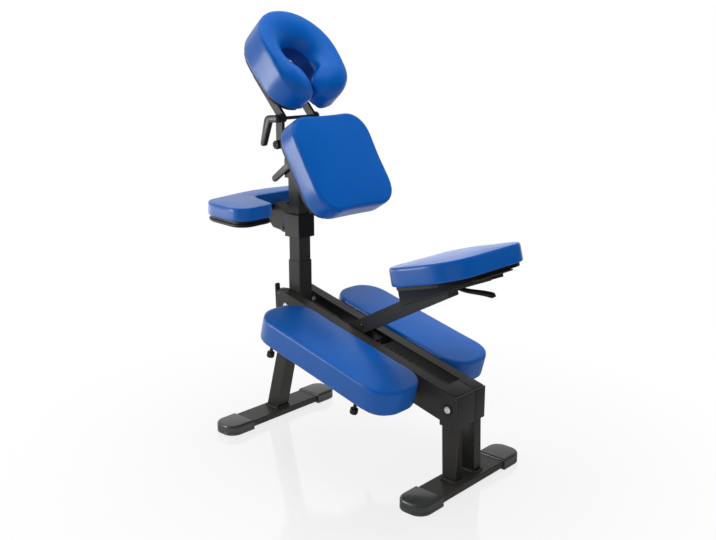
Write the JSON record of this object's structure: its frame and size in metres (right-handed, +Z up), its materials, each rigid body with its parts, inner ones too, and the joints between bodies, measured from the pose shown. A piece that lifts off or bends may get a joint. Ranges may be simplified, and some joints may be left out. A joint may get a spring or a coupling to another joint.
{
  "type": "portable massage chair",
  "caption": "Portable massage chair with a face cradle, chest pad, armrest, seat and knee pads on a folding frame whose rests slide and tilt.",
  "frame": {"origin": "floor level, at the middle of the footprint of the whole chair", "axes": "+X to the right across the chair, +Y from the seat towards the mast, +Z up"},
  "size_m": [0.5596, 0.8943, 1.2416],
  "materials": {
    "vinyl": "satin",
    "coated_steel": "satin",
    "plastic": "matte",
    "board": "matte",
    "zinc": "satin"
  },
  "bodies": {
    "beam": {"main_beam": "coated_steel", "beam_end_cap": "plastic", "beam_nose": "coated_steel", "seat_rack": "coated_steel", "front_leg_bracket": "coated_steel", "rear_leg_bolt": "zinc", "mast_bolt": "zinc", "front_leg_bolt": "zinc", "knee_pad_left": "vinyl", "knee_pad_right": "vinyl", "knee_board_left": "board", "knee_board_right": "board", "knee_bracket_rear_left": "coated_steel", "knee_bracket_rear_right": "coated_steel", "knee_bracket_front_left": "coated_steel", "knee_bracket_front_right": "coated_steel", "knee_knob_rear_left": "plastic", "knee_knob_rear_right": "plastic", "knee_knob_front_left": "plastic", "knee_knob_front_right": "plastic"},
    "front_leg": {"front_post": "coated_steel", "front_foot_bar": "coated_steel", "front_foot_cap_left": "plastic", "front_foot_cap_right": "plastic"},
    "rear_leg": {"rear_post_left": "coated_steel", "rear_post_right": "coated_steel", "rear_foot_bar": "coated_steel", "rear_foot_cap_left": "plastic", "rear_foot_cap_right": "plastic"},
    "mast_base": {"mast_outer_tube": "coated_steel"},
    "mast_lock": {"mast_lock_lever": "plastic"},
    "upper_mast": {"mast_inner_tube": "coated_steel"},
    "arm_slide": {"arm_collar": "plastic", "arm_pin": "zinc"},
    "armrest": {"arm_bracket": "coated_steel", "arm_board": "board", "arm_pad": "vinyl"},
    "chest_slide": {"chest_slider": "plastic", "chest_pin": "zinc"},
    "chest_rest": {"chest_bracket": "coated_steel", "chest_board": "board", "chest_pad": "vinyl"},
    "chest_clamp": {"chest_lever": "plastic"},
    "yoke": {"yoke_shaft": "zinc", "yoke_arm_left": "coated_steel", "yoke_arm_right": "coated_steel", "yoke_knob": "plastic", "cradle_axle": "coated_steel"},
    "face_cradle": {"cradle_frame": "coated_steel", "face_board": "board", "face_pad": "vinyl"},
    "cradle_clamp": {"cam_lever": "plastic"},
    "seat_carrier": {"seat_carriage": "plastic", "seat_pin": "zinc"},
    "seat": {"seat_strut": "coated_steel", "seat_bracket": "coated_steel", "seat_board": "board", "seat_pad": "vinyl"},
    "seat_release": {"seat_lever": "plastic"}
  },
  "joints": [
    {"name": "front_leg_fold", "type": "hinge", "parent": "beam", "child": "front_leg", "pos_m": [0, 0.29942, 0.31207], "axis": [-1, 0, 0], "range_deg": [0, 84]},
    {"name": "rear_leg_fold", "type": "hinge", "parent": "beam", "child": "rear_leg", "pos_m": [0, -0.34574, 0.22702], "axis": [1, 0, 0], "range_deg": [0, 68]},
    {"name": "mast_fold", "type": "hinge", "parent": "beam", "child": "mast_base", "pos_m": [0, 0.25982, 0.39169], "axis": [-1, 0, 0], "range_deg": [0, 80]},
    {"name": "mast_lock_turn", "type": "hinge", "parent": "beam", "child": "mast_lock", "pos_m": [0, 0.30557, 0.37911], "axis": [-1, 0, 0], "range_deg": [0, 25]},
    {"name": "mast_height", "type": "slide", "parent": "mast_base", "child": "upper_mast", "axis": [0, 0, 1], "range_m": [0, 0.075]},
    {"name": "arm_height", "type": "slide", "parent": "upper_mast", "child": "arm_slide", "axis": [0, 0, 1], "range_m": [-0.05, 0.06]},
    {"name": "armrest_tilt", "type": "hinge", "parent": "arm_slide", "child": "armrest", "pos_m": [0, 0.30442, 0.61769], "axis": [-1, 0, 0], "range_deg": [0, 70]},
    {"name": "chest_height", "type": "slide", "parent": "upper_mast", "child": "chest_slide", "axis": [0, 0, 1], "range_m": [-0.05, 0]},
    {"name": "chest_tilt", "type": "hinge", "parent": "chest_slide", "child": "chest_rest", "pos_m": [0, 0.18282, 0.79969], "axis": [-1, 0, 0], "range_deg": [-15, 15]},
    {"name": "chest_clamp_turn", "type": "hinge", "parent": "chest_slide", "child": "chest_clamp", "pos_m": [-0.0358, 0.25982, 0.81269], "axis": [1, 0, 0], "range_deg": [0, 60]},
    {"name": "face_yoke_tilt", "type": "hinge", "parent": "upper_mast", "child": "yoke", "pos_m": [0, 0.25982, 0.87369], "axis": [-1, 0, 0], "range_deg": [-8, 45]},
    {"name": "face_cradle_tilt", "type": "hinge", "parent": "yoke", "child": "face_cradle", "pos_m": [0, 0.25982, 0.94669], "axis": [-1, 0, 0], "range_deg": [-10, 30]},
    {"name": "cradle_clamp_turn", "type": "hinge", "parent": "yoke", "child": "cradle_clamp", "pos_m": [0, 0.25982, 0.94669], "axis": [1, 0, 0], "range_deg": [0, 65]},
    {"name": "seat_slide", "type": "slide", "parent": "beam", "child": "seat_carrier", "axis": [0, 0.9681, 0.2504], "range_m": [-0.1, 0.12]},
    {"name": "seat_fold", "type": "hinge", "parent": "seat_carrier", "child": "seat", "pos_m": [0, -0.0095, 0.37627], "axis": [1, 0, 0], "range_deg": [0, 30]},
    {"name": "seat_release_turn", "type": "hinge", "parent": "seat", "child": "seat_release", "pos_m": [0, -0.31664, 0.54211], "axis": [-1, 0, 0], "range_deg": [0, 12]}
  ]
}
